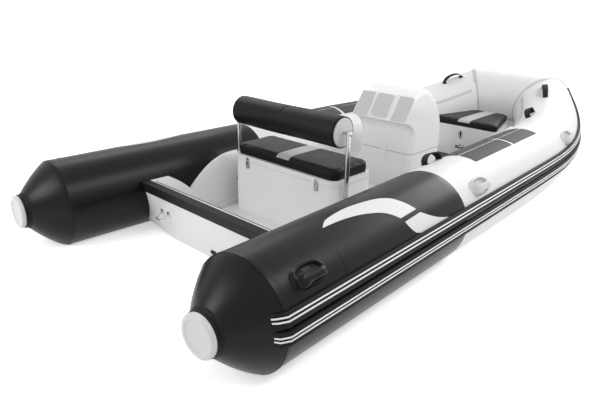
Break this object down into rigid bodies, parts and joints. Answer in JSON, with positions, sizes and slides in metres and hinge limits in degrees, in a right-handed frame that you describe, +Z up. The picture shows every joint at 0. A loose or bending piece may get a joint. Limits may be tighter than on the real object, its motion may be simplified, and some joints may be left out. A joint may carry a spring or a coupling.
{
  "type": "inflatable boat with rigid hull",
  "caption": "Rigid-hulled inflatable boat: two tapered side tubes, V hull, helm console, seat box with folding bolster and a cushioned bow locker.",
  "frame": {"origin": "on the centreline at the waterline, at half of the boat's overall length", "axes": "+X forward to the bow, +Y to port, +Z up"},
  "size_m": [4.2429, 2.064, 0.869],
  "materials": {
    "tube_black": "satin coated fabric, black",
    "tube_white": "satin coated fabric, white",
    "white_plastic": "smooth white moulding",
    "pad_grey": "dark grey non-slip sheet",
    "gelcoat": "light grey gelcoat",
    "webbing": "black webbing",
    "handle_rubber": "moulded rubber",
    "strake_rubber": "ribbed black rubber",
    "stripe_white": "white inlay strip",
    "hull_white": "gelcoat",
    "rubber": "black rubber extrusion",
    "stainless": "polished stainless steel",
    "vinyl_black": "black marine vinyl",
    "console_grp": "white gelcoat",
    "panel_grey": "light grey instrument panel"
  },
  "bodies": {
    "boat": {"tail_cone_port": "tube_black", "tail_cone_starboard": "tube_black", "tail_collar_port": "tube_black", "tail_collar_starboard": "tube_black", "tail_cap_port": "white_plastic", "tail_cap_starboard": "white_plastic", "tube_aft_port": "tube_black", "tube_aft_starboard": "tube_black", "tube_fore_port": "tube_white", "tube_fore_starboard": "tube_white", "tube_quarter_port": "tube_white", "tube_quarter_starboard": "tube_white", "deck_pads_port": "pad_grey", "deck_pads_starboard": "pad_grey", "side_liner_port": "gelcoat", "side_liner_starboard": "gelcoat", "strap_handles_port": "webbing", "strap_handles_starboard": "webbing", "grab_handles_port": "handle_rubber", "grab_handles_starboard": "handle_rubber", "tube_bow": "tube_white", "strake_upper": "strake_rubber", "strake_upper_lines": "stripe_white", "strake_lower": "strake_rubber", "strake_lower_lines": "stripe_white", "hull": "hull_white", "transom": "gelcoat", "transom_trim": "rubber", "stern_eyes": "stainless", "deck_sole": "gelcoat", "seat_box": "gelcoat", "seat_latches": "stainless", "backrest_pivots": "stainless", "drain": "rubber", "deck_mat": "pad_grey", "bow_ring": "stainless", "seat_hinges": "stainless", "console_hinges": "stainless", "bow_hinges": "stainless", "console_base": "console_grp", "console_latch": "console_grp", "bow_locker": "gelcoat", "bow_latch": "stainless"},
    "seat_top": {"seat_lid": "gelcoat", "seat_cushion": "vinyl_black", "seat_keepers": "stainless", "seat_hinge_leaves": "stainless"},
    "backrest": {"bolster": "vinyl_black", "bolster_ends": "white_plastic", "backrest_posts": "stainless"},
    "console_cowl": {"console_top": "console_grp", "dash_panels": "panel_grey", "console_keeper": "console_grp", "console_hinge_leaves": "stainless"},
    "bow_top": {"bow_lid": "gelcoat", "bow_cushion": "vinyl_black", "bow_hinge_leaves": "stainless"}
  },
  "joints": [
    {"name": "backrest_fold", "type": "hinge", "parent": "boat", "child": "backrest", "pos_m": [-0.8658, 0, 0.206], "axis": [0, -1, 0], "range_deg": [0, 80]},
    {"name": "seat_lid_hinge", "type": "hinge", "parent": "boat", "child": "seat_top", "pos_m": [-0.6058, 0, 0.3653], "axis": [0, 1, 0], "range_deg": [0, 60]},
    {"name": "console_tilt", "type": "hinge", "parent": "boat", "child": "console_cowl", "pos_m": [0.4242, 0, 0.3063], "axis": [0, 1, 0], "range_deg": [0, 60]},
    {"name": "bow_lid_hinge", "type": "hinge", "parent": "boat", "child": "bow_top", "pos_m": [1.5962, 0, 0.2693], "axis": [0, 1, 0], "range_deg": [0, 35]}
  ],
  "couplings": [
    {"joint": "seat_lid_hinge", "follows": "backrest_fold", "ratio": 0.75}
  ]
}
